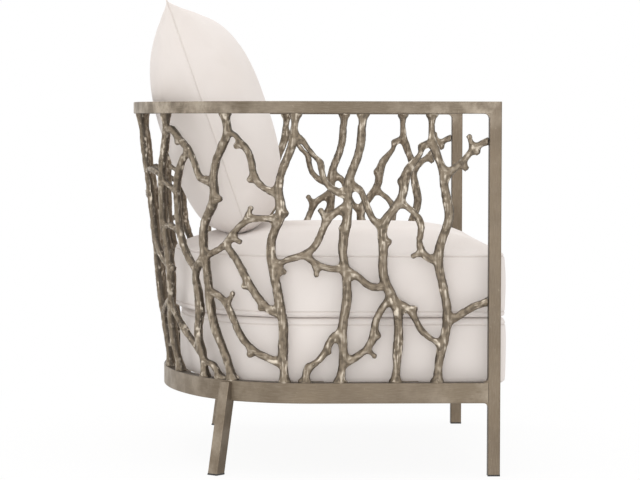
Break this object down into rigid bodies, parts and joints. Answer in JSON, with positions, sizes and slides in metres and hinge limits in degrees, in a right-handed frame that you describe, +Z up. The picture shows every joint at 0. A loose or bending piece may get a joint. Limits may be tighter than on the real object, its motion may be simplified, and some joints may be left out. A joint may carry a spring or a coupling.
{
  "type": "outdoor lounge chair",
  "caption": "Barrel-shaped metal lounge chair with cast twig lattice arms and back, an upholstered deck, a loose boxed seat cushion and a loose back pillow.",
  "frame": {"origin": "on the floor, under the middle of the chair's box", "axes": "+Z up, -Y towards the chair's front, -X towards the sitter's right"},
  "size_m": [0.7606, 0.69, 0.861],
  "materials": {
    "tube_metal": "antiqued champagne metallic, brushed",
    "twig_metal": "cast aluminium twigs, antiqued champagne finish",
    "fabric": "plain woven, off-white",
    "filling": "open foam and fibre",
    "board": "exterior plywood",
    "glide": "moulded, dull",
    "screw": "plain stainless"
  },
  "bodies": {
    "frame": {"arm_rail": "tube_metal", "back_twigs": "twig_metal", "deck_board": "board", "deck_cover": "fabric", "deck_foam": "filling", "deck_screws": "screw", "front_bearer": "tube_metal", "front_rail": "tube_metal", "left_front_glide": "glide", "left_front_post": "tube_metal", "left_post_twigs": "twig_metal", "left_rear_glide": "glide", "left_rear_leg": "tube_metal", "left_stem_1": "twig_metal", "left_stem_2": "twig_metal", "left_stem_3": "twig_metal", "left_stem_4": "twig_metal", "left_stem_5": "twig_metal", "left_stem_6": "twig_metal", "left_stem_7": "twig_metal", "left_stem_8": "twig_metal", "left_stem_9": "twig_metal", "left_twigs_1": "twig_metal", "left_twigs_2": "twig_metal", "left_twigs_3": "twig_metal", "left_twigs_4": "twig_metal", "left_twigs_5": "twig_metal", "left_twigs_6": "twig_metal", "left_twigs_7": "twig_metal", "middle_bearer": "tube_metal", "rear_bearer": "tube_metal", "right_front_glide": "glide", "right_front_post": "tube_metal", "right_post_twigs": "twig_metal", "right_rear_glide": "glide", "right_rear_leg": "tube_metal", "right_stem_1": "twig_metal", "right_stem_2": "twig_metal", "right_stem_3": "twig_metal", "right_stem_4": "twig_metal", "right_stem_5": "twig_metal", "right_stem_6": "twig_metal", "right_stem_7": "twig_metal", "right_stem_8": "twig_metal", "right_stem_9": "twig_metal", "right_twigs_1": "twig_metal", "right_twigs_2": "twig_metal", "right_twigs_3": "twig_metal", "right_twigs_4": "twig_metal", "right_twigs_5": "twig_metal", "right_twigs_6": "twig_metal", "right_twigs_7": "twig_metal", "seat_rail": "tube_metal"},
    "seat_cushion": {"seat_cushion_cover": "fabric", "seat_cushion_foam": "filling"},
    "pillow": {"pillow_cover": "fabric", "pillow_filling": "filling"}
  },
  "joints": [
    {"name": "seat_cushion_lift", "type": "slide", "parent": "frame", "child": "seat_cushion", "axis": [0, 0, 1], "range_m": [0, 0.4]},
    {"name": "pillow_lift", "type": "slide", "parent": "seat_cushion", "child": "pillow", "axis": [0, 0, 1], "range_m": [0, 0.26]}
  ]
}
